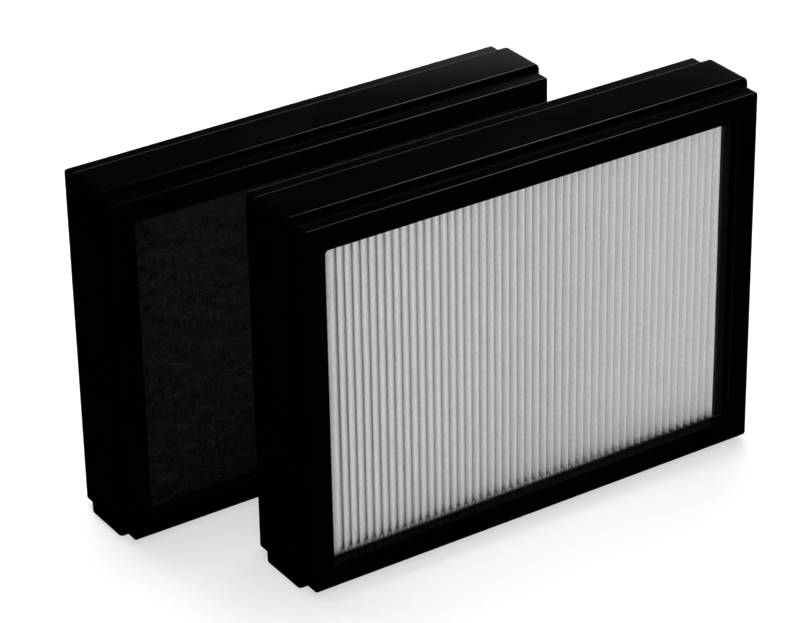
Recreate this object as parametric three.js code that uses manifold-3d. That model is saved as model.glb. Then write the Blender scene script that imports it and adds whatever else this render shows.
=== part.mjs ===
// Filter cassette set of a solder fume extractor, in millimetres, +Z up.
//
// Two free-standing cassettes of one design: a particle cassette with a pleated medium, and behind it
// and to its left a slightly smaller carbon cassette with a granule bed. Each has a front and a rear
// tray-shaped frame, joined by a band that stands proud of both. The origin is on the ground, at the
// middle of the set's outer box. +X runs along the cassettes, +Y from front to rear.

import * as THREE from 'three';
import { mergeVertices } from 'three/addons/utils/BufferGeometryUtils.js';
import Module from 'manifold-3d';

const wasm = await Module();
wasm.setup();

// Driving dimensions of the particle cassette.
const FRAME_WIDTH = 258.5; // outline of the flanges
const FRAME_HEIGHT = 191.3;
const FRAME_DEPTH = 50.8; // front face to rear face
const FLANGE_DEPTH = 11.5; // what each flange shows in front of and behind the band
const BAND_PROUD = 3.05; // how far the band stands out of the flanges, all round
const SIDE_LIP_WIDTH = 11.1; // face between the flange's outline and the window, left and right
const END_LIP_WIDTH = 12.3; // the same at the top and bottom
const SHELL_WALL = 2.5; // outer wall and face of a frame
const WINDOW_WALL = 2; // wall that lines the window
const WINDOW_WALL_DEPTH = 6.5;
const PLEAT_PITCH = 4.465;
const PLEAT_COUNT = 51;

// The carbon cassette is the same design at this scale, standing this far from the particle one.
const CARBON_SCALE = 0.95;
const CARBON_SHIFT_X = -53.6; // centre to centre
const CARBON_SHIFT_Y = 89.8; // front face to front face

// Sizes that both cassettes share.
const GAP = 0.3; // between pieces that touch
const FLANGE_CORNER = 1.5;
const INNER_CORNER = 0.6;
const BAND_CORNER = 3.2;
const WINDOW_CORNER = 2;
const EDGE_BREAK = 0.9; // small chamfer on moulded outer edges
const CORNER_STEPS = 4; // straight steps in a quarter turn
const CUT_PAST = 1; // how far a cutting solid runs past the face that it opens
const MERGE_DISTANCE = 1e-4; // corners closer than this are one
const PAD_COVER = 3.4; // how far the carbon cassette's layers reach past the window
const GASKET_WIDTH = 6;
const GASKET_THICKNESS = 2.5;

// The folded medium. Each front valley is an open groove, and behind it the two folds lie together.
const SHEET_THICKNESS = 0.45;
const FOLD_RADIUS = 0.65; // outside of a fold
const END_FOLD_RADIUS = 2.25; // outside of the wide folds that end the sheet, left and right
const FOLD_ARC_STEPS = 4;
const GROOVE_DEPTH = 4.1;
const GROOVE_LEAN_LEFT = 3.4; // how far the leftmost groove's bottom lies to the right of its mouth
const GROOVE_LEAN_RIGHT = -0.5;

// Hot-melt threads across the rear folds.
const THREAD_COUNT = 5;
const THREAD_WIDTH = 1.4;
const THREAD_THICKNESS = 1;

// Layers of the carbon cassette.
const FOAM_THICKNESS = 6;
const REAR_FOAM_THICKNESS = 3;
const NET_THICKNESS = 1.2;
const NET_BAR = 2;
const NET_COLUMNS = 8;
const NET_ROWS = 6;
const GRILLE_THICKNESS = 1.8;
const GRILLE_BAR = 2.4;

const FINISHES = {
  frame: { color: 0x0b0b0c, roughness: 0.45, metalness: 0 },
  medium: { color: 0xe4e4e2, roughness: 0.95, metalness: 0 },
  potting: { color: 0x161617, roughness: 0.6, metalness: 0 },
  thread: { color: 0xe8e4d6, roughness: 0.4, metalness: 0 },
  gasket: { color: 0x18181a, roughness: 0.9, metalness: 0 },
  foam: { color: 0x121213, roughness: 0.95, metalness: 0 },
  net: { color: 0x1c1c1e, roughness: 0.6, metalness: 0 },
  granules: { color: 0x0e0e0e, roughness: 0.85, metalness: 0 },
};

// A closed geometry with only its positions, so that its shared corners are merged.
function toSolid(geometry) {
  const bare = geometry.clone();
  bare.deleteAttribute('normal');
  bare.deleteAttribute('uv');
  const merged = mergeVertices(bare, MERGE_DISTANCE);
  const mesh = new wasm.Mesh({
    numProp: 3,
    vertProperties: new Float32Array(merged.attributes.position.array),
    triVerts: new Uint32Array(merged.index.array),
  });
  return new wasm.Manifold(mesh);
}

function toGeometry(solid) {
  const mesh = solid.getMesh();
  const geometry = new THREE.BufferGeometry();
  geometry.setAttribute('position', new THREE.BufferAttribute(new Float32Array(mesh.vertProperties), 3));
  geometry.setIndex(new THREE.BufferAttribute(new Uint32Array(mesh.triVerts), 1));
  const faceted = geometry.toNonIndexed();
  faceted.computeVertexNormals();
  return faceted;
}

function cut(base, ...tools) {
  const solid = tools.reduce((rest, tool) => rest.subtract(toSolid(tool)), toSolid(base));
  return toGeometry(solid);
}

function addMesh(group, name, geometry, finish) {
  const mesh = new THREE.Mesh(geometry, new THREE.MeshStandardMaterial(FINISHES[finish]));
  mesh.name = name;
  group.add(mesh);
}

// A rectangle about the origin with rounded corners.
function roundedRectangle(width, height, radius) {
  const right = width / 2 - radius;
  const top = height / 2 - radius;
  const quarter = Math.PI / 2;
  const shape = new THREE.Shape();
  shape.absarc(right, top, radius, 0, quarter);
  shape.absarc(-right, top, radius, quarter, 2 * quarter);
  shape.absarc(-right, -top, radius, 2 * quarter, 3 * quarter);
  shape.absarc(right, -top, radius, 3 * quarter, 4 * quarter);
  shape.closePath();
  return shape;
}

// An upright outline (x across, y up) made solid from front to rear.
function uprightSlab(shape, front, rear, chamfer = 0) {
  const geometry = new THREE.ExtrudeGeometry(shape, {
    depth: rear - front - 2 * chamfer,
    curveSegments: CORNER_STEPS,
    bevelEnabled: chamfer > 0,
    bevelThickness: chamfer,
    bevelSize: chamfer,
    bevelOffset: -chamfer,
    bevelSegments: 1,
  });
  geometry.rotateX(Math.PI / 2);
  geometry.translate(0, rear - chamfer, 0);
  return geometry;
}

function block(width, front, rear, height, centreX = 0, centreZ = 0) {
  const geometry = new THREE.BoxGeometry(width, rear - front, height);
  geometry.translate(centreX, (front + rear) / 2, centreZ);
  return geometry;
}

// Every size of one cassette that its pieces share. The covers say how far its core reaches past the
// window, at the sides and at the top and bottom. Below zero, it falls short of the window.
function cassetteSizes(scale, sideCover, endCover) {
  const width = FRAME_WIDTH * scale;
  const height = FRAME_HEIGHT * scale;
  const depth = FRAME_DEPTH * scale;
  const windowWidth = width - 2 * SIDE_LIP_WIDTH * scale;
  const windowHeight = height - 2 * END_LIP_WIDTH * scale;
  const windowWallDepth = WINDOW_WALL_DEPTH * scale;
  return {
    width,
    height,
    depth,
    bandWidth: width + 2 * BAND_PROUD * scale,
    bandHeight: height + 2 * BAND_PROUD * scale,
    bandFront: FLANGE_DEPTH * scale,
    bandRear: depth - FLANGE_DEPTH * scale,
    innerWidth: width - 2 * SHELL_WALL,
    innerHeight: height - 2 * SHELL_WALL,
    windowWidth,
    windowHeight,
    windowWallDepth,
    coreWidth: windowWidth + 2 * sideCover,
    coreHeight: windowHeight + 2 * endCover,
    coreFront: windowWallDepth + GAP,
    coreRear: depth - windowWallDepth - GAP,
  };
}

// A tray-shaped frame: face with a window, outer wall, and a shorter wall that lines the window.
function frontFrame(size) {
  const rear = size.depth / 2 - GAP / 2;
  const outside = uprightSlab(
    roundedRectangle(size.width, size.height, FLANGE_CORNER), 0, rear, EDGE_BREAK);
  const opening = uprightSlab(
    roundedRectangle(size.windowWidth, size.windowHeight, WINDOW_CORNER), -CUT_PAST, rear + CUT_PAST);
  const hollow = uprightSlab(
    roundedRectangle(size.innerWidth, size.innerHeight, INNER_CORNER),
    size.windowWallDepth, rear + CUT_PAST);
  const lining = roundedRectangle(
    size.windowWidth + 2 * WINDOW_WALL, size.windowHeight + 2 * WINDOW_WALL, WINDOW_CORNER);
  const channel = cut(
    uprightSlab(
      roundedRectangle(size.innerWidth, size.innerHeight, INNER_CORNER),
      SHELL_WALL, size.windowWallDepth + CUT_PAST),
    uprightSlab(lining, 0, size.depth));
  return cut(outside, opening, hollow, channel);
}

// The rear frame is the front one turned half round about the upright axis.
function rearFrame(size) {
  const geometry = frontFrame(size);
  geometry.rotateZ(Math.PI);
  geometry.translate(0, size.depth, 0);
  return geometry;
}

function centreBand(size) {
  const outline = roundedRectangle(size.bandWidth, size.bandHeight, BAND_CORNER);
  const hole = roundedRectangle(size.width + 2 * GAP, size.height + 2 * GAP, FLANGE_CORNER);
  return cut(
    uprightSlab(outline, size.bandFront, size.bandRear, EDGE_BREAK),
    uprightSlab(hole, 0, size.depth));
}

// Foam strip glued flat on the rear face, in the middle of the lip.
function rearGasket(size) {
  const inset = (size.width - size.windowWidth) / 4;
  const outline = roundedRectangle(
    size.width - 2 * inset + GASKET_WIDTH, size.height - 2 * inset + GASKET_WIDTH, WINDOW_CORNER);
  outline.holes.push(roundedRectangle(
    size.width - 2 * inset - GASKET_WIDTH, size.height - 2 * inset - GASKET_WIDTH, WINDOW_CORNER));
  const front = size.depth + GAP;
  return uprightSlab(outline, front, front + GASKET_THICKNESS);
}

// Points on the outside of one fold, from one angle to another. At angle 0 a point lies in front of the
// centre, and at a quarter turn to its right.
function foldArc(centreX, centreY, radius, from, to) {
  const points = [];
  for (let step = 0; step <= FOLD_ARC_STEPS; step += 1) {
    const angle = from + ((to - from) * step) / FOLD_ARC_STEPS;
    points.push(new THREE.Vector2(
      centreX + radius * Math.sin(angle), centreY - radius * Math.cos(angle)));
  }
  return points;
}

// The same path moved sideways, to its left where the distance is above zero.
function offsetPath(path, distance) {
  return path.map((point, index) => {
    const before = path[Math.max(index - 1, 0)];
    const after = path[Math.min(index + 1, path.length - 1)];
    const arriving = point.clone().sub(before).normalize();
    const leaving = after.clone().sub(point).normalize();
    const along = arriving.add(leaving).normalize();
    const leg = index > 0 ? point.clone().sub(before).normalize() : along;
    const across = new THREE.Vector2(-along.y, along.x);
    return point.clone().add(across.multiplyScalar(distance / along.dot(leg)));
  });
}

function foldX(pleat) {
  return (pleat - (PLEAT_COUNT - 1) / 2) * PLEAT_PITCH;
}

// Where the groove to the right of a front fold has its bottom.
function valleyX(pleat) {
  const share = (pleat + 0.5) / (PLEAT_COUNT - 1);
  const lean = THREE.MathUtils.lerp(GROOVE_LEAN_LEFT, GROOVE_LEAN_RIGHT, share);
  return foldX(pleat) + PLEAT_PITCH / 2 + lean;
}

// The folded sheet's section: its front surface from left to right, then its rear one back again. The
// sheet leaves its outermost folds in wide turns.
function pleatSection(size) {
  const quarter = Math.PI / 2;
  const foldY = size.coreFront + FOLD_RADIUS;
  const endFoldY = size.coreFront + END_FOLD_RADIUS;
  const grooveY = size.coreFront + GROOVE_DEPTH;
  const valleyRadius = FOLD_RADIUS - SHEET_THICKNESS;
  const valleyY = size.coreRear - FOLD_RADIUS;
  const lastPleat = PLEAT_COUNT - 1;
  const front = [new THREE.Vector2(foldX(0) - END_FOLD_RADIUS, valleyY)];
  front.push(...foldArc(foldX(0), endFoldY, END_FOLD_RADIUS, -quarter, 0).slice(0, -1));
  for (let pleat = 0; pleat < PLEAT_COUNT; pleat += 1) {
    const left = pleat === 0
      ? quarter : Math.atan2(foldX(pleat) - valleyX(pleat - 1), GROOVE_DEPTH);
    const right = pleat === lastPleat
      ? quarter : Math.atan2(valleyX(pleat) - foldX(pleat), GROOVE_DEPTH);
    front.push(...foldArc(foldX(pleat), foldY, FOLD_RADIUS, left - quarter, quarter - right));
    if (pleat < lastPleat) {
      front.push(new THREE.Vector2(valleyX(pleat) - valleyRadius, grooveY));
      front.push(...foldArc(valleyX(pleat), valleyY, valleyRadius, -quarter, -3 * quarter));
      front.push(new THREE.Vector2(valleyX(pleat) + valleyRadius, grooveY));
    }
  }
  front.push(...foldArc(foldX(lastPleat), endFoldY, END_FOLD_RADIUS, 0, quarter).slice(1));
  front.push(new THREE.Vector2(foldX(lastPleat) + END_FOLD_RADIUS, valleyY));
  return new THREE.Shape([...front, ...offsetPath(front, SHEET_THICKNESS).reverse()]);
}

function pleatedMedium(size) {
  const geometry = new THREE.ExtrudeGeometry(pleatSection(size), {
    depth: size.coreHeight,
    bevelEnabled: false,
  });
  geometry.translate(0, 0, -size.coreHeight / 2);
  return geometry;
}

// Strips that seal the four edges of a core into the frames, as deep as the core.
function addEdgeSeals(group, prefix, size, names) {
  const sealWidth = (size.innerWidth - size.coreWidth) / 2 - 2 * GAP;
  const sealHeight = (size.innerHeight - size.coreHeight) / 2 - 2 * GAP;
  const sealX = (size.coreWidth + sealWidth) / 2 + GAP;
  const sealZ = (size.coreHeight + sealHeight) / 2 + GAP;
  const fullWidth = size.innerWidth - 2 * GAP;
  const strips = [
    { name: names.top, width: fullWidth, height: sealHeight, x: 0, z: sealZ },
    { name: names.bottom, width: fullWidth, height: sealHeight, x: 0, z: -sealZ },
    { name: names.left, width: sealWidth, height: size.coreHeight, x: -sealX, z: 0 },
    { name: names.right, width: sealWidth, height: size.coreHeight, x: sealX, z: 0 },
  ];
  for (const strip of strips) {
    const geometry = block(strip.width, size.coreFront, size.coreRear, strip.height, strip.x, strip.z);
    addMesh(group, `${prefix}_${strip.name}`, geometry, 'potting');
  }
}

function addSeparatorThreads(group, size) {
  const front = size.coreRear + GAP;
  const length = size.windowWidth - 2 * GAP;
  for (let index = 0; index < THREAD_COUNT; index += 1) {
    const height = ((index + 1) / (THREAD_COUNT + 1) - 0.5) * size.windowHeight;
    addMesh(group, `hepa_separator_thread_${index + 1}`,
      block(length, front, front + THREAD_THICKNESS, THREAD_WIDTH, 0, height), 'thread');
  }
}

// A flat plate with equal rectangular cells cut through it.
function lattice(width, height, corner, bar, front, thickness) {
  const pitchX = (width - bar) / NET_COLUMNS;
  const pitchZ = (height - bar) / NET_ROWS;
  const cells = [];
  for (let column = 0; column < NET_COLUMNS; column += 1) {
    for (let row = 0; row < NET_ROWS; row += 1) {
      const centreX = (column - (NET_COLUMNS - 1) / 2) * pitchX;
      const centreZ = (row - (NET_ROWS - 1) / 2) * pitchZ;
      cells.push(block(
        pitchX - bar, front - CUT_PAST, front + thickness + CUT_PAST, pitchZ - bar, centreX, centreZ));
    }
  }
  return cut(uprightSlab(roundedRectangle(width, height, corner), front, front + thickness), ...cells);
}

// Foam, net, granule bed, net and foam, from front to rear, with a gap between neighbours.
function addCarbonCore(group, size) {
  const { coreWidth, coreHeight, coreFront, coreRear } = size;
  const frontNet = coreFront + FOAM_THICKNESS + GAP;
  const bedFront = frontNet + NET_THICKNESS + GAP;
  const rearFoam = coreRear - REAR_FOAM_THICKNESS;
  const rearNet = rearFoam - GAP - NET_THICKNESS;
  addMesh(group, 'carbon_front_foam',
    block(coreWidth, coreFront, coreFront + FOAM_THICKNESS, coreHeight), 'foam');
  addMesh(group, 'carbon_front_net',
    lattice(coreWidth, coreHeight, INNER_CORNER, NET_BAR, frontNet, NET_THICKNESS), 'net');
  addMesh(group, 'carbon_granule_bed', block(coreWidth, bedFront, rearNet - GAP, coreHeight), 'granules');
  addMesh(group, 'carbon_rear_net',
    lattice(coreWidth, coreHeight, INNER_CORNER, NET_BAR, rearNet, NET_THICKNESS), 'net');
  addMesh(group, 'carbon_rear_foam', block(coreWidth, rearFoam, coreRear, coreHeight), 'foam');
  addMesh(group, 'carbon_rear_grille', lattice(
    size.windowWidth - 2 * GAP, size.windowHeight - 2 * GAP, WINDOW_CORNER - GAP, GRILLE_BAR,
    coreRear + GAP, GRILLE_THICKNESS), 'frame');
}

// The frames, band and gasket that both cassettes have.
function addShell(group, prefix, size) {
  addMesh(group, `${prefix}_front_frame`, frontFrame(size), 'frame');
  addMesh(group, `${prefix}_rear_frame`, rearFrame(size), 'frame');
  addMesh(group, `${prefix}_centre_band`, centreBand(size), 'frame');
  addMesh(group, `${prefix}_rear_gasket`, rearGasket(size), 'gasket');
}

function hepaCassette(size) {
  const group = new THREE.Group();
  addShell(group, 'hepa', size);
  addMesh(group, 'hepa_pleated_medium', pleatedMedium(size), 'medium');
  addEdgeSeals(group, 'hepa', size,
    { top: 'top_potting', bottom: 'bottom_potting', left: 'left_edge_seal', right: 'right_edge_seal' });
  addSeparatorThreads(group, size);
  return group;
}

function carbonCassette(size) {
  const group = new THREE.Group();
  addShell(group, 'carbon', size);
  addCarbonCore(group, size);
  addEdgeSeals(group, 'carbon', size,
    {
      top: 'top_edge_seal',
      bottom: 'bottom_edge_seal',
      left: 'left_edge_seal',
      right: 'right_edge_seal',
    });
  return group;
}

// The pleats end level with the window at the top and bottom, and leave a strip of edge seal in sight at
// the sides. The carbon layers reach behind the lip.
const sheetWidth = (PLEAT_COUNT - 1) * PLEAT_PITCH + 2 * END_FOLD_RADIUS;
const hepaWindowWidth = FRAME_WIDTH - 2 * SIDE_LIP_WIDTH;
const hepaSize = cassetteSizes(1, (sheetWidth - hepaWindowWidth) / 2, -GAP);
const carbonSize = cassetteSizes(CARBON_SCALE, PAD_COVER, PAD_COVER);

// The set's outer box, measured from the middle of the particle cassette's front face.
const setLeft = CARBON_SHIFT_X - carbonSize.bandWidth / 2;
const setRight = hepaSize.bandWidth / 2;
const setRear = CARBON_SHIFT_Y + carbonSize.depth + GAP + GASKET_THICKNESS;
const hepaX = -(setLeft + setRight) / 2;
const hepaY = -setRear / 2;

const hepa = hepaCassette(hepaSize);
hepa.position.set(hepaX, hepaY, hepaSize.bandHeight / 2);

const carbon = carbonCassette(carbonSize);
carbon.position.set(hepaX + CARBON_SHIFT_X, hepaY + CARBON_SHIFT_Y, carbonSize.bandHeight / 2);

const filterSet = new THREE.Group();
filterSet.add(hepa, carbon);

export default filterSet;
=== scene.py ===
"""Looks of a solder fume extractor's filter set: a pleated particle cassette and a carbon cassette.

Both cassettes have the same moulded shell. Everything is in metres, in the frame of the CAD model.
"""
import math

import bpy
from mathutils import Matrix, Quaternion, Vector, noise


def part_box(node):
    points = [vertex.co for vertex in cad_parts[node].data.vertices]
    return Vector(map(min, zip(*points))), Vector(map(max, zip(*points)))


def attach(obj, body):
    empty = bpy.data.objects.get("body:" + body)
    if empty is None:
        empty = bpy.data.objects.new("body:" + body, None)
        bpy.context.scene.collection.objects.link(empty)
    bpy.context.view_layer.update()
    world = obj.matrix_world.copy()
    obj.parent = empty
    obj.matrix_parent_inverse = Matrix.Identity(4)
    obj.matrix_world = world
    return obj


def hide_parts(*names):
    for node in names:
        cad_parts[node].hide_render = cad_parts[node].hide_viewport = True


MM = 0.001

# Shell of the particle cassette. The carbon cassette's shell is scaled by its own width.
SIDE_LIP_WIDTH = 11.1 * MM  # face between the outline and the window, left and right
END_LIP_WIDTH = 12.3 * MM  # the same at the top and bottom
SHELL_WALL = 2.5 * MM
WINDOW_WALL = 2.0 * MM  # wall that lines the window
WINDOW_WALL_DEPTH = 6.5 * MM
FLANGE_CORNER = 1.5 * MM
INNER_CORNER = 0.6 * MM
BAND_CORNER = 3.2 * MM
WINDOW_CORNER = 2.0 * MM
OUTER_FILLET = 0.9 * MM
BAND_FILLET = 1.1 * MM
WINDOW_FILLET = 0.45 * MM
HIDDEN_FILLET = 0.2 * MM
BAND_CLEARANCE = 0.3 * MM  # between the band and the frames inside it
MOULDING_WAVE = 0.05 * MM  # how far moulded walls sink
MOULDING_WAVE_LENGTH = 45 * MM
FILLET_STEPS = 5
CORNER_STEPS = 6
SIDE_STEPS = 24  # steps along each straight side of an outline

# Folded medium. Each front valley is an open groove, and behind it the two folds lie together.
PLEAT_COUNT = 51
SHEET_THICKNESS = 0.45 * MM
FOLD_RADIUS = 0.65 * MM
VALLEY_RADIUS = 0.06 * MM  # half the gap between two folds that lie together
END_FOLD_RADIUS = 2.25 * MM  # the wide folds that end the sheet, left and right
GROOVE_DEPTH = 4.1 * MM
GROOVE_LEAN_LEFT = 3.4 * MM  # how far the leftmost groove's bottom lies to the right of its mouth
GROOVE_LEAN_RIGHT = -0.5 * MM
PLEAT_ROWS = 44
FOLD_ARC_STEPS = 4
FOLD_SWAY = 0.16 * MM  # how far a fold wanders sideways
FOLD_SWAY_LENGTH = 38 * MM  # height over which it wanders to one side
FOLD_RIPPLE = 0.35  # a finer sway on top of it, as a share of it
FOLD_RIPPLE_LENGTH = 9 * MM
FOLD_SINK = 0.3 * MM  # how far a fold falls short of its full height
FOLD_SINK_LENGTH = 55 * MM
VALLEY_SWAY_LENGTH = 30 * MM
SWAY_SEED = 1
RIPPLE_SEED = 7
SINK_SEED = 3
VALLEY_SEED = 11
SHEET_EMBED = 0.25 * MM  # how far the sheet runs into the resin at each end
FIBRE_SPREAD = 1.2  # how strongly the sheet's shading turns towards its front or rear face

# Hot-melt threads across the rear folds.
THREAD_COUNT = 5
THREAD_SIDES = 10
THREAD_STEPS = 6  # along the thread, for each fold
THREAD_FILL = 0.86  # usual thickness, as a share of the CAD bar
THREAD_SWELL = 0.1  # how much thicker it is at every fold
THREAD_UNEVEN = 0.08
THREAD_UNEVEN_LENGTH = 5 * MM
THREAD_DRIFT = 0.12 * MM  # how far it wanders up and down
THREAD_DRIFT_LENGTH = 20 * MM
THREAD_TIP_STEPS = 3  # steps over which each end grows to its full thickness
THREAD_TIP_START = 0.6  # in steps, so that the very end isn't a point

# Soft parts.
GASKET_WIDTH = 6.0 * MM
GASKET_FILLET = 0.7 * MM
GASKET_WAVE = 0.3 * MM  # how far the strip's edges sink
FOAM_CELL = 1.6 * MM  # spacing of the foam's surface grid
FOAM_WRINKLE = 0.22 * MM
FOAM_FILLET = 1.2 * MM
FOAM_HOLLOW = 0.8 * MM  # how far the front face lies further back at its edges than in its middle
BED_CELL = 2.4 * MM
BED_WRINKLE = 0.35 * MM
BED_FILLET = 1.0 * MM
POTTING_CELL = 3.0 * MM
POTTING_WRINKLE = 0.05 * MM
POTTING_FILLET = 0.4 * MM
WRINKLE_BASE = 0.75  # usual depth of a block's wrinkles, as a share of the wrinkle size
WRINKLE_SPREAD = 0.5  # how much that depth changes from place to place
COARSE_WRINKLE_LENGTH = 4.5 * MM
FINE_WRINKLE_LENGTH = 1.9 * MM
CROWN_STEEPNESS = 16  # makes the crown 1 in the middle of a face and 0 at its edges

# How far the edges of carried-over CAD parts are rounded, and in how many steps.
SEAL_ROUNDING = (0.3 * MM, 2)
NET_ROUNDING = (0.5 * MM, 3)
GRILLE_ROUNDING = (0.6 * MM, 3)
SHARP_EDGE = math.radians(40)  # only edges that turn more than this are rounded

# Camera and studio.
CAMERA_AIM = Vector((-0.0100, -0.0005, 0.0939))
CAMERA_AZIMUTH = math.radians(-33.0)
CAMERA_ELEVATION = math.radians(28.504)
CAMERA_ROLL = math.radians(-1.041)
CAMERA_DISTANCE = 1.6474
CAMERA_LENS = 151.87  # millimetres
SENSOR_WIDTH = 36  # millimetres
FLOOR_REACH = 6.0
FLOOR_FILL = 1.85  # watts per square metre, straight down and without shadows
WORLD_STRENGTH = 0.26
# Area lights: name, place, the point it faces, width, height and watts. The soft ones light the floor
# and the fabric, and the mirrored ones are seen only as reflections in the satin plastic.
SOFT_LIGHTS = [
    ("key_light", (0.3, 0.75, 1.75), (0, 0, 0.05), 1.6, 1.2, 26),
    ("front_light", (-0.9, -1.3, 0.95), (0, 0, 0.1), 1.3, 1.0, 4),
]
MIRRORED_LIGHTS = [
    ("back_card", (0.2, 0.26, 0.22), (0, 0.05, 0.19), 0.9, 0.14, 0.7),
    ("edge_strip", (0.75, 0.25, 1.3), (0, 0, 0.15), 0.9, 0.25, 34),
]

SHELL_COLOUR = (0.0006, 0.0006, 0.00065, 1)
MEDIUM_COLOUR = (0.76, 0.76, 0.75, 1)
POTTING_COLOUR = (0.006, 0.006, 0.0062, 1)
THREAD_COLOUR = (0.78, 0.76, 0.68, 1)
GASKET_COLOUR = (0.010, 0.010, 0.011, 1)
FOAM_COLOUR = (0.0045, 0.0045, 0.0047, 1)
NET_COLOUR = (0.012, 0.012, 0.013, 1)
GRANULE_COLOUR = (0.008, 0.008, 0.008, 1)


# Materials

def new_material(name):
    """An empty node material and its shader."""
    material = bpy.data.materials.new(name)
    material.use_nodes = True
    return material, material.node_tree.nodes["Principled BSDF"]


def object_position(material):
    """Output with a point's place in the object, in metres."""
    return material.node_tree.nodes.new("ShaderNodeTexCoord").outputs["Object"]


def stretched(material, vector, scale):
    """The position scaled separately along x, y and z."""
    node = material.node_tree.nodes.new("ShaderNodeMapping")
    node.inputs["Scale"].default_value = scale
    material.node_tree.links.new(vector, node.inputs["Vector"])
    return node.outputs["Vector"]


def noise_texture(material, vector, size, detail=3.0, roughness=0.55):
    """Cloud noise from 0 to 1 whose features are about size metres across."""
    node = material.node_tree.nodes.new("ShaderNodeTexNoise")
    node.inputs["Scale"].default_value = 1 / size
    node.inputs["Detail"].default_value = detail
    node.inputs["Roughness"].default_value = roughness
    material.node_tree.links.new(vector, node.inputs["Vector"])
    return node.outputs["Fac"]


def cell_texture(material, vector, size):
    """Distance to the nearest of scattered points about size metres apart."""
    node = material.node_tree.nodes.new("ShaderNodeTexVoronoi")
    node.inputs["Scale"].default_value = 1 / size
    material.node_tree.links.new(vector, node.inputs["Vector"])
    return node.outputs["Distance"]


def mapped(material, value, from_low, from_high, to_low, to_high):
    """The value moved from one range to another, and kept inside it."""
    node = material.node_tree.nodes.new("ShaderNodeMapRange")
    node.inputs["From Min"].default_value = from_low
    node.inputs["From Max"].default_value = from_high
    node.inputs["To Min"].default_value = to_low
    node.inputs["To Max"].default_value = to_high
    material.node_tree.links.new(value, node.inputs["Value"])
    return node.outputs["Result"]


def spread(material, cloud, low, high):
    """Cloud noise, which mostly lies from 0.3 to 0.7, moved to the range from low to high."""
    return mapped(material, cloud, 0.3, 0.7, low, high)


def tinted(material, value, dark, light):
    """A colour that runs from dark at 0 to light at 1."""
    node = material.node_tree.nodes.new("ShaderNodeValToRGB")
    node.color_ramp.elements[0].color = dark
    node.color_ramp.elements[1].color = light
    material.node_tree.links.new(value, node.inputs["Fac"])
    return node.outputs["Color"]


def bumped(material, shader, height, depth, below=None):
    """Gives the shader's surface relief of that depth in metres, on top of the relief below."""
    node = material.node_tree.nodes.new("ShaderNodeBump")
    node.inputs["Distance"].default_value = depth
    material.node_tree.links.new(height, node.inputs["Height"])
    if below is not None:
        material.node_tree.links.new(below, node.inputs["Normal"])
    material.node_tree.links.new(node.outputs["Normal"], shader.inputs["Normal"])
    return node.outputs["Normal"]


def scaled_colour(colour, factor):
    """The colour made darker or lighter."""
    return (colour[0] * factor, colour[1] * factor, colour[2] * factor, 1)


def shell_plastic():
    """Black moulded plastic with a fine spark-eroded grain and faint handling marks."""
    material, shader = new_material("shell_plastic")
    position = object_position(material)
    cloud = noise_texture(material, position, 30 * MM, detail=4)
    grain = noise_texture(material, position, 0.45 * MM, detail=2)
    shader.inputs["Specular IOR Level"].default_value = 0.02
    links = material.node_tree.links
    colour = tinted(
        material, spread(material, cloud, 0, 1),
        scaled_colour(SHELL_COLOUR, 0.8), scaled_colour(SHELL_COLOUR, 1.25))
    links.new(colour, shader.inputs["Base Color"])
    links.new(spread(material, cloud, 0.15, 0.19), shader.inputs["Roughness"])
    bumped(material, shader, grain, 0.006 * MM)
    return material


def softened_normal(material, position, middle, share):
    """Surface direction turned towards the nearer face, as loose fibres spread light widely."""
    nodes = material.node_tree.nodes
    links = material.node_tree.links
    from_middle = nodes.new("ShaderNodeVectorMath")
    from_middle.operation = "SUBTRACT"
    from_middle.inputs[1].default_value = middle
    links.new(position, from_middle.inputs[0])
    side = nodes.new("ShaderNodeVectorMath")
    side.operation = "SIGN"
    links.new(from_middle.outputs["Vector"], side.inputs[0])
    turned = nodes.new("ShaderNodeVectorMath")
    turned.operation = "MULTIPLY_ADD"
    turned.inputs[1].default_value = (0, share, 0)
    links.new(side.outputs["Vector"], turned.inputs[0])
    links.new(nodes.new("ShaderNodeNewGeometry").outputs["Normal"], turned.inputs[2])
    unit = nodes.new("ShaderNodeVectorMath")
    unit.operation = "NORMALIZE"
    links.new(turned.outputs["Vector"], unit.inputs[0])
    return unit.outputs["Vector"]


def nonwoven_medium():
    """White fibre sheet: mottled, with fine fibres and a soft fuzz."""
    material, shader = new_material("nonwoven_medium")
    position = object_position(material)
    mottle = noise_texture(material, position, 2.2 * MM, detail=4, roughness=0.65)
    fibres = noise_texture(
        material, stretched(material, position, (1, 1, 0.45)), 0.35 * MM, detail=3, roughness=0.7)
    links = material.node_tree.links
    colour = tinted(
        material, spread(material, mottle, 0, 1),
        scaled_colour(MEDIUM_COLOUR, 0.9), scaled_colour(MEDIUM_COLOUR, 1.06))
    links.new(colour, shader.inputs["Base Color"])
    shader.inputs["Roughness"].default_value = 0.95
    shader.inputs["Specular IOR Level"].default_value = 0.15
    shader.inputs["Subsurface Weight"].default_value = 1.0
    shader.inputs["Subsurface Radius"].default_value = (1, 1, 1)
    shader.inputs["Subsurface Scale"].default_value = 0.6 * MM
    low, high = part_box("hepa_pleated_medium")
    middle = (Vector(low) + Vector(high)) / 2
    soft = softened_normal(material, position, middle, FIBRE_SPREAD)
    below = bumped(material, shader, mottle, 0.15 * MM, soft)
    bumped(material, shader, fibres, 0.08 * MM, below)
    return material


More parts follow.
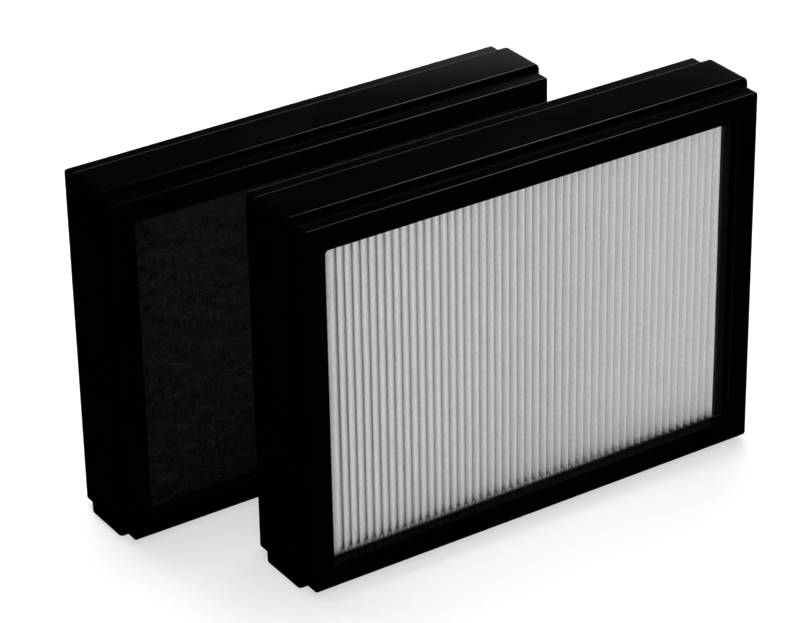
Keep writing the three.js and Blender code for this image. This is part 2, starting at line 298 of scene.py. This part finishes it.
def casting_resin():
    """Dark polyurethane resin: smooth and slightly wavy, with small bubbles."""
    material, shader = new_material("casting_resin")
    position = object_position(material)
    cloud = noise_texture(material, position, 9 * MM)
    bubbles = mapped(material, cell_texture(material, position, 2.4 * MM), 0.0, 0.22, 0, 1)
    links = material.node_tree.links
    colour = tinted(
        material, cloud, scaled_colour(POTTING_COLOUR, 0.7), scaled_colour(POTTING_COLOUR, 1.3))
    links.new(colour, shader.inputs["Base Color"])
    links.new(spread(material, cloud, 0.4, 0.6), shader.inputs["Roughness"])
    bumped(material, shader, bubbles, 0.08 * MM)
    return material


def hot_melt():
    """Milky hot-melt adhesive with a soft gloss."""
    material, shader = new_material("hot_melt")
    position = object_position(material)
    cloud = noise_texture(material, position, 3 * MM)
    links = material.node_tree.links
    colour = tinted(
        material, cloud, scaled_colour(THREAD_COLOUR, 0.85), scaled_colour(THREAD_COLOUR, 1.1))
    links.new(colour, shader.inputs["Base Color"])
    shader.inputs["Roughness"].default_value = 0.35
    shader.inputs["Subsurface Weight"].default_value = 0.2
    shader.inputs["Subsurface Scale"].default_value = 1 * MM
    bumped(material, shader, cloud, 0.1 * MM)
    return material


def gasket_foam():
    """Matt black closed-cell foam with fine pores."""
    material, shader = new_material("gasket_foam")
    position = object_position(material)
    pores = mapped(material, cell_texture(material, position, 0.7 * MM), 0.0, 0.5, 0, 1)
    cloud = noise_texture(material, position, 8 * MM)
    links = material.node_tree.links
    colour = tinted(
        material, cloud, scaled_colour(GASKET_COLOUR, 0.8), scaled_colour(GASKET_COLOUR, 1.4))
    links.new(colour, shader.inputs["Base Color"])
    shader.inputs["Roughness"].default_value = 0.9
    shader.inputs["Specular IOR Level"].default_value = 0.3
    bumped(material, shader, pores, 0.12 * MM)
    return material


def carbon_foam():
    """Black foam skin with a wrinkled, leathery grain, coloured with painted shade in its hollows and
    a painted highlight on its crests.
    """
    material, shader = new_material("carbon_foam")
    position = object_position(material)
    relief_and_painted_shade = noise_texture(material, position, 2.0 * MM, detail=5, roughness=0.7)
    pores = cell_texture(material, position, 0.9 * MM)
    links = material.node_tree.links
    # The colour follows the relief's height: painted shade, darker in the hollows, and a painted
    # highlight, lighter on the crests.
    colour = tinted(
        material, mapped(material, relief_and_painted_shade, 0.4, 0.6, 0, 1),
        scaled_colour(FOAM_COLOUR, 0.1), scaled_colour(FOAM_COLOUR, 2.6))
    links.new(colour, shader.inputs["Base Color"])
    shader.inputs["Roughness"].default_value = 0.55
    shader.inputs["Specular IOR Level"].default_value = 0.35
    below = bumped(material, shader, relief_and_painted_shade, 1.6 * MM)
    bumped(material, shader, pores, 0.4 * MM, below)
    return material


def net_plastic():
    """Dark extruded plastic with fine draw lines."""
    material, shader = new_material("net_plastic")
    position = object_position(material)
    lines = noise_texture(material, stretched(material, position, (1, 1, 0.1)), 0.5 * MM)
    links = material.node_tree.links
    colour = tinted(
        material, lines, scaled_colour(NET_COLOUR, 0.8), scaled_colour(NET_COLOUR, 1.3))
    links.new(colour, shader.inputs["Base Color"])
    shader.inputs["Roughness"].default_value = 0.45
    bumped(material, shader, lines, 0.03 * MM)
    return material


def carbon_granules():
    """Angular charred grains, packed tight."""
    material, shader = new_material("carbon_granules")
    position = object_position(material)
    grains = cell_texture(material, position, 2.6 * MM)
    cloud = noise_texture(material, position, 1.2 * MM)
    links = material.node_tree.links
    colour = tinted(
        material, cloud, scaled_colour(GRANULE_COLOUR, 0.6), scaled_colour(GRANULE_COLOUR, 1.6))
    links.new(colour, shader.inputs["Base Color"])
    shader.inputs["Roughness"].default_value = 0.7
    bumped(material, shader, grains, 1.2 * MM)
    return material


# Mesh building

def add_object(name, vertices, faces, material):
    """A new smooth-shaded object from vertices and faces."""
    mesh = bpy.data.meshes.new(name)
    mesh.from_pydata(vertices, [], faces)
    mesh.polygons.foreach_set("use_smooth", [True] * len(mesh.polygons))
    mesh.materials.append(material)
    mesh.update()
    piece = bpy.data.objects.new(name, mesh)
    bpy.context.scene.collection.objects.link(piece)
    return piece


def grid_faces(rows, ring):
    """Faces between closed rings of vertices, from each ring to the next, over so many rows."""
    faces = []
    for row in range(rows):
        for column in range(ring):
            next_column = (column + 1) % ring
            faces.append((
                row * ring + column, row * ring + next_column,
                (row + 1) * ring + next_column, (row + 1) * ring + column))
    return faces


def level_shading(piece):
    """Keeps broad flat faces flat in the smooth shading next to their fillets."""
    modifier = piece.modifiers.new("level_shading", "WEIGHTED_NORMAL")
    modifier.mode = "FACE_AREA"
    modifier.weight = 100


def outline_points(half_width, half_height, corner):
    """Points (x, z) round a rounded rectangle, the same number whatever its size."""
    corners = []
    for index, (side_x, side_z) in enumerate(((1, 1), (-1, 1), (-1, -1), (1, -1))):
        centre_x = side_x * (half_width - corner)
        centre_z = side_z * (half_height - corner)
        arc = []
        for step in range(CORNER_STEPS + 1):
            angle = (index + step / CORNER_STEPS) * math.pi / 2
            arc.append((centre_x + corner * math.cos(angle), centre_z + corner * math.sin(angle)))
        corners.append(arc)
    points = []
    for index, arc in enumerate(corners):
        points.extend(arc)
        start = arc[-1]
        end = corners[(index + 1) % 4][0]
        for step in range(1, SIDE_STEPS):
            share = step / SIDE_STEPS
            points.append(tuple(a + (b - a) * share for a, b in zip(start, end)))
    return points


def fillet(inset, y, radius, turn_from, turn_to):
    """Profile points on an arc round (inset, y). At 0 degrees a point lies inside, at 90 behind."""
    points = []
    for step in range(FILLET_STEPS + 1):
        angle = math.radians(turn_from + (turn_to - turn_from) * step / FILLET_STEPS)
        points.append((inset + radius * math.cos(angle), y + radius * math.sin(angle)))
    return points


def with_corner(points, corner, end_extra=0.0):
    """Adds the corner radius of the outline at each profile point, and its extra inset at the ends."""
    return [(inset, y, corner, end_extra) for inset, y in points]


def swept_ring(name, centre, half_width, half_height, profile, material, wave):
    """Sweeps a closed profile round a rectangle.

    A profile point is its inset, its y, the outline's corner radius there and the extra inset at the
    top and bottom.
    """
    vertices = []
    for inset, y, corner, end_extra in profile:
        for x, z in outline_points(half_width - inset, half_height - inset - end_extra, corner):
            sway = noise.noise(Vector((x, y, z)) / MOULDING_WAVE_LENGTH) * wave
            push = Vector((x, 0, z)).normalized() * min(sway, 0)
            vertices.append(Vector((centre[0] + x, y, centre[1] + z)) + push)
    ring = len(vertices) // len(profile)
    closed = [
        tuple(index % len(vertices) for index in face) for face in grid_faces(len(profile), ring)]
    return add_object(name, vertices, closed, material)


class Shell:
    """Places and sizes of one cassette's shell, from its CAD boxes."""

    def __init__(self, prefix, full_width):
        self.prefix = prefix
        low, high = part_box(f"{prefix}_front_frame")
        self.half_width = (high[0] - low[0]) / 2
        self.half_height = (high[2] - low[2]) / 2
        self.centre = ((low[0] + high[0]) / 2, (low[2] + high[2]) / 2)
        scale = 2 * self.half_width / full_width
        self.lip = SIDE_LIP_WIDTH * scale
        self.end_extra = (END_LIP_WIDTH - SIDE_LIP_WIDTH) * scale
        self.lining_depth = WINDOW_WALL_DEPTH * scale


def frame_profile(shell, face_y, seam_y):
    """Section of one tray-shaped frame, from its face to the seam. Works for front and rear frames."""
    side = 1 if seam_y > face_y else -1
    length = abs(seam_y - face_y)
    lining_inset = shell.lip - WINDOW_WALL
    outside = fillet(OUTER_FILLET, OUTER_FILLET, OUTER_FILLET, 270, 180)
    outside += [(0, length / 2), (0, length - HIDDEN_FILLET), (HIDDEN_FILLET, length)]
    inside = [
        (SHELL_WALL - HIDDEN_FILLET, length), (SHELL_WALL, length - HIDDEN_FILLET),
        (SHELL_WALL, SHELL_WALL)]
    lining = [
        (lining_inset, SHELL_WALL), (lining_inset, shell.lining_depth - HIDDEN_FILLET),
        (lining_inset + HIDDEN_FILLET, shell.lining_depth)]
    window_edge = shell.lip - WINDOW_FILLET
    lining += fillet(window_edge, shell.lining_depth - WINDOW_FILLET, WINDOW_FILLET, 90, 0)
    lining += fillet(window_edge, WINDOW_FILLET, WINDOW_FILLET, 0, -90)
    profile = with_corner(outside, FLANGE_CORNER)
    profile += with_corner(inside, INNER_CORNER)
    profile += with_corner(lining, WINDOW_CORNER, shell.end_extra)
    return [(inset, face_y + side * y, corner, extra) for inset, y, corner, extra in profile]


def add_frame(shell, which, material):
    """Front or rear frame of a cassette."""
    name = f"{shell.prefix}_{which}_frame"
    low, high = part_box(name)
    if which == "front":
        profile = frame_profile(shell, low[1], high[1])
    else:
        profile = list(reversed(frame_profile(shell, high[1], low[1])))
    piece = swept_ring(
        f"{name}_shell", shell.centre, shell.half_width, shell.half_height, profile, material,
        MOULDING_WAVE)
    level_shading(piece)
    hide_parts(name)
    return piece


def add_band(shell, material):
    """Raised band round the middle of a cassette."""
    name = f"{shell.prefix}_centre_band"
    low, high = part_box(name)
    proud = (high[0] - low[0]) / 2 - shell.half_width
    depth = high[1] - low[1]
    thickness = proud - BAND_CLEARANCE
    outside = fillet(BAND_FILLET, BAND_FILLET, BAND_FILLET, 270, 180)
    outside += fillet(BAND_FILLET, depth - BAND_FILLET, BAND_FILLET, 180, 90)
    inside = [
        (thickness - HIDDEN_FILLET, depth), (thickness, depth - HIDDEN_FILLET),
        (thickness, HIDDEN_FILLET), (thickness - HIDDEN_FILLET, 0)]
    points = with_corner(outside, BAND_CORNER) + with_corner(inside, FLANGE_CORNER)
    profile = [(inset, low[1] + y, corner, extra) for inset, y, corner, extra in points]
    piece = swept_ring(
        f"{name}_shell", shell.centre, shell.half_width + proud, shell.half_height + proud,
        profile, material, MOULDING_WAVE)
    level_shading(piece)
    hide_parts(name)
    return piece


def add_gasket(shell, material):
    """Foam strip glued round the rear face, with soft edges."""
    name = f"{shell.prefix}_rear_gasket"
    low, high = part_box(name)
    half_width = (high[0] - low[0]) / 2
    half_height = (high[2] - low[2]) / 2
    depth = high[1] - low[1]
    points = [(HIDDEN_FILLET, 0)]
    points += fillet(GASKET_FILLET, depth - GASKET_FILLET, GASKET_FILLET, 180, 90)
    points += fillet(GASKET_WIDTH - GASKET_FILLET, depth - GASKET_FILLET, GASKET_FILLET, 90, 0)
    points += [(GASKET_WIDTH - HIDDEN_FILLET, 0)]
    profile = with_corner([(inset, low[1] + y) for inset, y in points], WINDOW_CORNER)
    piece = swept_ring(
        f"{name}_strip", shell.centre, half_width, half_height, profile, material, GASKET_WAVE)
    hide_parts(name)
    return piece


def fold_arc(centre_x, centre_y, radius, start, end):
    """Points on a fold. Angle 0 is in front of the centre, and a quarter turn is to its right."""
    points = []
    for step in range(FOLD_ARC_STEPS + 1):
        angle = start + (end - start) * step / FOLD_ARC_STEPS
        offset = Vector((math.sin(angle), -math.cos(angle))) * radius
        points.append(Vector((centre_x, centre_y)) + offset)
    return points


def offset_path(path, distance):
    """The same path moved sideways, to its left."""
    moved = []
    for index, point in enumerate(path):
        before = path[max(index - 1, 0)]
        after = path[min(index + 1, len(path) - 1)]
        arriving = (point - before).normalized() if index > 0 else (after - point).normalized()
        leaving = (after - point).normalized() if index < len(path) - 1 else arriving
        along = (arriving + leaving).normalized()
        across = Vector((-along.y, along.x))
        moved.append(point + across * (distance / along.dot(arriving)))
    return moved


def wander(index, z, length, seed):
    """A smooth random number from -1 to 1 for one fold at height z."""
    apart = 3.7  # keeps neighbouring folds from wandering together
    return noise.noise(Vector((index * apart, z / length, seed)))


def pleat_row(z, pitch, centre_x, front, rear):
    """Section of the folded sheet at height z: its front surface, then its rear one back again."""
    quarter = math.pi / 2
    last = PLEAT_COUNT - 1
    folds = []
    valleys = []
    for pleat in range(PLEAT_COUNT):
        fold_x = centre_x + (pleat - last / 2) * pitch
        ripple = FOLD_RIPPLE * wander(pleat, z, FOLD_RIPPLE_LENGTH, RIPPLE_SEED)
        sway = wander(pleat, z, FOLD_SWAY_LENGTH, SWAY_SEED) + ripple
        sink = 0.5 + 0.5 * wander(pleat, z, FOLD_SINK_LENGTH, SINK_SEED)
        folds.append((fold_x + FOLD_SWAY * sway, front + FOLD_RADIUS + FOLD_SINK * sink))
        lean = GROOVE_LEAN_LEFT + (GROOVE_LEAN_RIGHT - GROOVE_LEAN_LEFT) * (pleat + 0.5) / last
        valley_sway = FOLD_SWAY * wander(pleat, z, VALLEY_SWAY_LENGTH, VALLEY_SEED)
        valleys.append(fold_x + pitch / 2 + lean + valley_sway)
    groove_y = front + GROOVE_DEPTH
    valley_y = rear - FOLD_RADIUS
    end_drop = END_FOLD_RADIUS - FOLD_RADIUS
    first_x, first_y = folds[0]
    path = [Vector((first_x - END_FOLD_RADIUS, valley_y))]
    path += fold_arc(first_x, first_y + end_drop, END_FOLD_RADIUS, -quarter, 0)[:-1]
    for pleat, (fold_x, fold_y) in enumerate(folds):
        left = math.atan2(fold_x - valleys[pleat - 1], GROOVE_DEPTH) if pleat > 0 else quarter
        right = math.atan2(valleys[pleat] - fold_x, GROOVE_DEPTH) if pleat < last else quarter
        path += fold_arc(fold_x, fold_y, FOLD_RADIUS, left - quarter, quarter - right)
        if pleat < last:
            valley_x = valleys[pleat]
            path.append(Vector((valley_x - VALLEY_RADIUS, groove_y)))
            path += fold_arc(valley_x, valley_y, VALLEY_RADIUS, -quarter, -3 * quarter)
            path.append(Vector((valley_x + VALLEY_RADIUS, groove_y)))
    last_x, last_y = folds[-1]
    path += fold_arc(last_x, last_y + end_drop, END_FOLD_RADIUS, 0, quarter)[1:]
    path.append(Vector((last_x + END_FOLD_RADIUS, valley_y)))
    return path + offset_path(path, SHEET_THICKNESS)[::-1]


def add_medium(material):
    """The pleated sheet, one closed surface."""
    name = "hepa_pleated_medium"
    low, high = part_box(name)
    pitch = (high[0] - low[0] - 2 * END_FOLD_RADIUS) / (PLEAT_COUNT - 1)
    centre_x = (low[0] + high[0]) / 2
    bottom = low[2] - SHEET_EMBED
    height = high[2] - low[2] + 2 * SHEET_EMBED
    vertices = []
    for row in range(PLEAT_ROWS + 1):
        z = bottom + height * row / PLEAT_ROWS
        vertices += [(x, y, z) for x, y in pleat_row(z, pitch, centre_x, low[1], high[1])]
    ring = len(vertices) // (PLEAT_ROWS + 1)
    faces = grid_faces(PLEAT_ROWS, ring)
    half = ring // 2
    top = PLEAT_ROWS * ring
    for column in range(half - 1):
        opposite = ring - 1 - column
        faces.append((column + 1, column, opposite, opposite - 1))
        faces.append((top + column, top + column + 1, top + opposite - 1, top + opposite))
    piece = add_object(f"{name}_sheet", vertices, faces, material)
    # Light comes through the real sheet, so its folds cast no hard shadows on each other.
    piece.visible_shadow = False
    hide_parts(name)
    return piece


def wavy_block(name, node, material, cell, wrinkle, rounding, hollow=0.0):
    """A closed block in a node's box, with rounded edges, a wrinkled surface and a crowned front."""
    low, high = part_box(node)
    low = Vector(low)
    high = Vector(high)
    size = high - low
    counts = [max(2, round(length / cell)) for length in size]
    index_of = {}
    vertices = []
    faces = []

    def vertex(i, j, k):
        key = (i, j, k)
        if key not in index_of:
            index_of[key] = len(vertices)
            vertices.append(block_point(low, size, counts, key, wrinkle, rounding, hollow))
        return index_of[key]

    for axis in range(3):
        first, second = (axis + 1) % 3, (axis + 2) % 3
        for end in (0, counts[axis]):
            for i in range(counts[first]):
                for j in range(counts[second]):
                    quad = []
                    for step_i, step_j in ((0, 0), (1, 0), (1, 1), (0, 1)):
                        key = [0, 0, 0]
                        key[axis] = end
                        key[first] = i + step_i
                        key[second] = j + step_j
                        quad.append(vertex(*key))
                    faces.append(quad if end else quad[::-1])
    piece = add_object(name, vertices, faces, material)
    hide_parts(node)
    return piece


def block_point(low, size, counts, key, wrinkle, rounding, hollow):
    """Place of one grid point of a wavy block."""
    share = Vector(key[axis] / counts[axis] for axis in range(3))
    place = Vector(low[axis] + size[axis] * share[axis] for axis in range(3))
    radius = min(rounding, min(size) / 2)
    core = Vector(
        min(max(place[axis], low[axis] + radius), low[axis] + size[axis] - radius)
        for axis in range(3))
    outward = place - core
    if outward.length > 0:
        place = core + outward.normalized() * min(outward.length, radius)
    rough = noise.noise(place / COARSE_WRINKLE_LENGTH) + 0.5 * noise.noise(place / FINE_WRINKLE_LENGTH)
    inward = -outward.normalized() if outward.length > 0 else Vector((0, 0, 0))
    place += inward * wrinkle * (WRINKLE_BASE + WRINKLE_SPREAD * rough)
    crown = CROWN_STEEPNESS * share[0] * (1 - share[0]) * share[2] * (1 - share[2])
    if share[1] < 0.5:
        place.y += hollow * (1 - min(crown, 1)) ** 2
    return place


def add_potting(which, material):
    """Strip of resin at the top or bottom of the particle cassette, which ends the pleats."""
    node = f"hepa_{which}_potting"
    return wavy_block(
        f"{node}_resin", node, material, POTTING_CELL, POTTING_WRINKLE, POTTING_FILLET)


def add_thread(index, spacing, material):
    """Hot-melt bead across the rear folds, which swells once in every spacing."""
    node = f"hepa_separator_thread_{index}"
    low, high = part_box(node)
    middle = (Vector(low) + Vector(high)) / 2
    width = high[2] - low[2]
    thickness = high[1] - low[1]
    steps = PLEAT_COUNT * THREAD_STEPS
    vertices = []
    for step in range(steps + 1):
        x = low[0] + (high[0] - low[0]) * step / steps
        phase = math.cos(2 * math.pi * (x - low[0]) / spacing)
        uneven = noise.noise(Vector((x / THREAD_UNEVEN_LENGTH, index * 9.0, 0)))
        swell = THREAD_FILL + THREAD_SWELL * phase + THREAD_UNEVEN * uneven
        taper = min(1, (min(step, steps - step) + THREAD_TIP_START) / THREAD_TIP_STEPS)
        drift = THREAD_DRIFT * noise.noise(Vector((x / THREAD_DRIFT_LENGTH, index * 4.0, 5)))
        for side in range(THREAD_SIDES):
            angle = 2 * math.pi * side / THREAD_SIDES
            y = middle.y + 0.5 * thickness * swell * taper * math.cos(angle)
            z = middle.z + 0.5 * width * swell * taper * math.sin(angle) + drift
            vertices.append((x, y, z))
    faces = grid_faces(steps, THREAD_SIDES)
    faces.append(list(range(THREAD_SIDES))[::-1])
    faces.append([steps * THREAD_SIDES + side for side in range(THREAD_SIDES)])
    piece = add_object(f"{node}_bead", vertices, faces, material)
    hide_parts(node)
    return piece


def soften_node(node, rounding, material):
    """Rounds the edges of a carried-over CAD node and gives it its finish."""
    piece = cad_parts[node]
    piece.data.materials.clear()
    piece.data.materials.append(material)
    modifier = piece.modifiers.new("rounded_edges", "BEVEL")
    modifier.width, modifier.segments = rounding
    modifier.limit_method = "ANGLE"
    modifier.angle_limit = SHARP_EDGE
    level_shading(piece)


# Studio

def add_camera():
    """The camera, above the set and to its left."""
    look = Vector((
        -math.sin(CAMERA_AZIMUTH) * math.cos(CAMERA_ELEVATION),
        math.cos(CAMERA_AZIMUTH) * math.cos(CAMERA_ELEVATION),
        -math.sin(CAMERA_ELEVATION)))
    data = bpy.data.cameras.new("camera")
    data.sensor_width = SENSOR_WIDTH
    data.lens = CAMERA_LENS
    camera = bpy.data.objects.new("camera", data)
    turn = look.to_track_quat("-Z", "Y") @ Quaternion((0, 0, 1), CAMERA_ROLL)
    place = CAMERA_AIM - look * CAMERA_DISTANCE
    camera.matrix_world = Matrix.Translation(place) @ turn.to_matrix().to_4x4()
    bpy.context.scene.collection.objects.link(camera)
    bpy.context.scene.camera = camera


def add_floor():
    """White floor, far wider than the view."""
    material, shader = new_material("floor_white")
    position = object_position(material)
    cloud = noise_texture(material, position, 0.4)
    colour = tinted(material, cloud, (0.9, 0.9, 0.9, 1), (0.93, 0.93, 0.93, 1))
    material.node_tree.links.new(colour, shader.inputs["Base Color"])
    shader.inputs["Roughness"].default_value = 0.9
    shader.inputs["Specular IOR Level"].default_value = 0.0
    corners = [
        (side_x * FLOOR_REACH, side_y * FLOOR_REACH, 0)
        for side_x, side_y in ((-1, -1), (1, -1), (1, 1), (-1, 1))]
    floor = add_object("studio_floor", corners, [(0, 1, 2, 3)], material)
    floor.visible_glossy = False


def add_area_light(name, place, target, width, height, power):
    """A rectangular light that faces the target."""
    data = bpy.data.lights.new(name, "AREA")
    data.shape = "RECTANGLE"
    data.size = width
    data.size_y = height
    data.energy = power
    light = bpy.data.objects.new(name, data)
    direction = Vector(target) - Vector(place)
    light.matrix_world = (
        Matrix.Translation(place) @ direction.to_track_quat("-Z", "Y").to_matrix().to_4x4())
    bpy.context.scene.collection.objects.link(light)
    return light


def add_lights():
    """Soft lights, lights that only the plastic mirrors, a fill for the floor and a pale world."""
    for plan in SOFT_LIGHTS:
        add_area_light(*plan).visible_glossy = False
    for plan in MIRRORED_LIGHTS:
        light = add_area_light(*plan)
        light.visible_diffuse = False
        light.visible_camera = False
    fill = bpy.data.lights.new("floor_fill", "SUN")
    fill.energy = FLOOR_FILL
    fill.use_shadow = False
    bpy.context.scene.collection.objects.link(bpy.data.objects.new("floor_fill", fill))
    world = bpy.data.worlds.new("studio_world")
    world.use_nodes = True
    background = world.node_tree.nodes["Background"]
    background.inputs["Color"].default_value = (1, 1, 1, 1)
    background.inputs["Strength"].default_value = WORLD_STRENGTH
    bpy.context.scene.world = world
    world.cycles_visibility.glossy = False
    bpy.context.scene.view_settings.view_transform = "Standard"


# The set

def place_piece(piece, body):
    """Ties a piece to the body that carries it."""
    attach(piece, body)


def add_shell(prefix, full_width, plastic, gasket):
    """Both frames, the band and the gasket of one cassette."""
    shell = Shell(prefix, full_width)
    body = f"{prefix}_cassette"
    for which in ("front", "rear"):
        place_piece(add_frame(shell, which, plastic), body)
    place_piece(add_band(shell, plastic), body)
    place_piece(add_gasket(shell, gasket), body)


def add_particle_core(medium, resin, melt):
    """The pleats, with the resin and the threads that hold them."""
    body = "hepa_cassette"
    place_piece(add_medium(medium), body)
    low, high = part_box("hepa_pleated_medium")
    spacing = (high[0] - low[0]) / PLEAT_COUNT
    for which in ("top", "bottom"):
        place_piece(add_potting(which, resin), body)
    for index in range(1, THREAD_COUNT + 1):
        place_piece(add_thread(index, spacing, melt), body)
    for side in ("left", "right"):
        soften_node(f"hepa_{side}_edge_seal", SEAL_ROUNDING, resin)


def add_carbon_core(foam, net, granules, plastic, resin):
    """The granule bed between its nets and foam pads, with the grille and the seals."""
    body = "carbon_cassette"
    for which in ("front", "rear"):
        node = f"carbon_{which}_foam"
        pad = wavy_block(
            f"{node}_pad", node, foam, FOAM_CELL, FOAM_WRINKLE, FOAM_FILLET, hollow=FOAM_HOLLOW)
        place_piece(pad, body)
        soften_node(f"carbon_{which}_net", NET_ROUNDING, net)
    node = "carbon_granule_bed"
    bed = wavy_block(f"{node}_grains", node, granules, BED_CELL, BED_WRINKLE, BED_FILLET)
    place_piece(bed, body)
    soften_node("carbon_rear_grille", GRILLE_ROUNDING, plastic)
    for side in ("top", "bottom", "left", "right"):
        soften_node(f"carbon_{side}_edge_seal", SEAL_ROUNDING, resin)


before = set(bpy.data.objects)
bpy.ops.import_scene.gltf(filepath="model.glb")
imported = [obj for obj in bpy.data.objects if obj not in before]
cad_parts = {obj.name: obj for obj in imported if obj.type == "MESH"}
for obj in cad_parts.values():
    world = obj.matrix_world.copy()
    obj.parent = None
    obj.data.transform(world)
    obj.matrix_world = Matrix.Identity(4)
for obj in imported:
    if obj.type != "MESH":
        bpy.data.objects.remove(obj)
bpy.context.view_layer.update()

add_camera()
add_floor()
add_lights()

plastic = shell_plastic()
medium = nonwoven_medium()
resin = casting_resin()
melt = hot_melt()
gasket = gasket_foam()
foam = carbon_foam()
net = net_plastic()
granules = carbon_granules()

hepa_low, hepa_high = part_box("hepa_front_frame")
full_width = hepa_high[0] - hepa_low[0]
for prefix in ("hepa", "carbon"):
    add_shell(prefix, full_width, plastic, gasket)
add_particle_core(medium, resin, melt)
add_carbon_core(foam, net, granules, plastic, resin)
